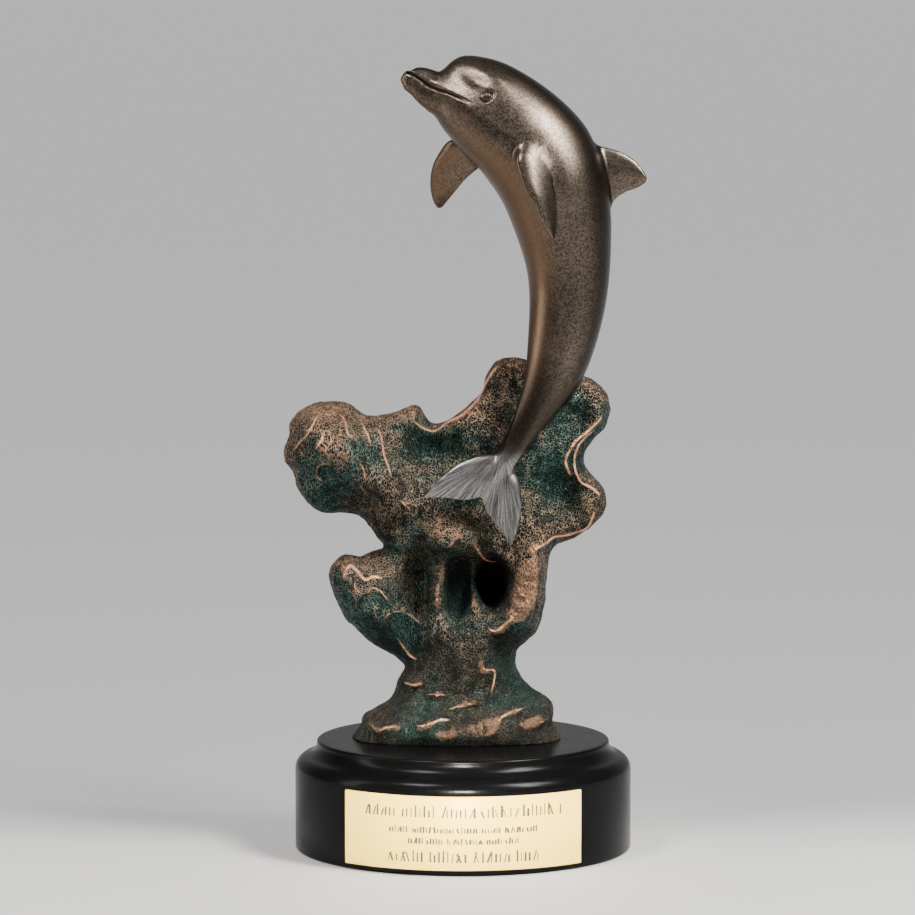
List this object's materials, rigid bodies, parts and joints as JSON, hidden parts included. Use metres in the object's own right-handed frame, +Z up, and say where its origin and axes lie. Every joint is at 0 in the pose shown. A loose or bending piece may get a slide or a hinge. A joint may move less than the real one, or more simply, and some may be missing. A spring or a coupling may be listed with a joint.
{
  "type": "dolphin trophy",
  "caption": "Trophy figure of a dolphin rising from a carved coral head, on a low turned round base with a curved nameplate.",
  "frame": {"origin": "centre of the base's underside", "axes": "+Z up; +X to the right as the nameplate is read; +Y away from the reader, towards the figure's back"},
  "size_m": [0.1359, 0.1283, 0.2991],
  "materials": {
    "base": "black satin lacquer over turned wood",
    "nameplate": "satin gold-coloured brass sheet",
    "figure": "cold-cast bronze: dark bronze dolphin, verdigris coral with rubbed copper edges"
  },
  "bodies": {
    "root": {"base": "base", "nameplate": "nameplate", "dolphin_and_coral": "figure"}
  },
  "joints": []
}
